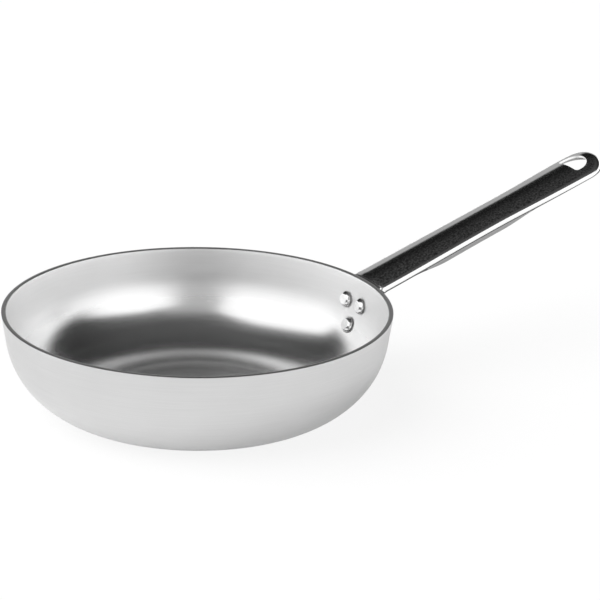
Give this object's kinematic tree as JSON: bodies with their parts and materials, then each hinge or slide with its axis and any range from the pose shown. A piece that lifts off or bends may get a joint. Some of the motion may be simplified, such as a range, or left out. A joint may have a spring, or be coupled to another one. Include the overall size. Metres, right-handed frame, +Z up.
{
  "type": "frying pan",
  "caption": "Round aluminium frying pan with a flat base and curved wall, and a folded sheet-steel handle riveted to the wall, with a hanging hole at its end.",
  "frame": {"origin": "centre of the flat base, on the surface that the pan stands on", "axes": "+X from the bowl's centre along the handle to its end, +Z up, +Y to the left of the handle seen from inside the bowl"},
  "size_m": [0.4364, 0.246, 0.1246],
  "materials": {
    "bowl": "bare aluminium, finely turned in rings round the axis, satin",
    "handle": "stainless steel sheet, tumbled to a bright finish with a fine orange-peel grain",
    "rivets": "bare aluminium, smooth and bright"
  },
  "bodies": {
    "root": {"pan_body": "bowl", "handle": "handle", "rivet_upper_left": "rivets", "rivet_upper_right": "rivets", "rivet_lower": "rivets"}
  },
  "joints": []
}
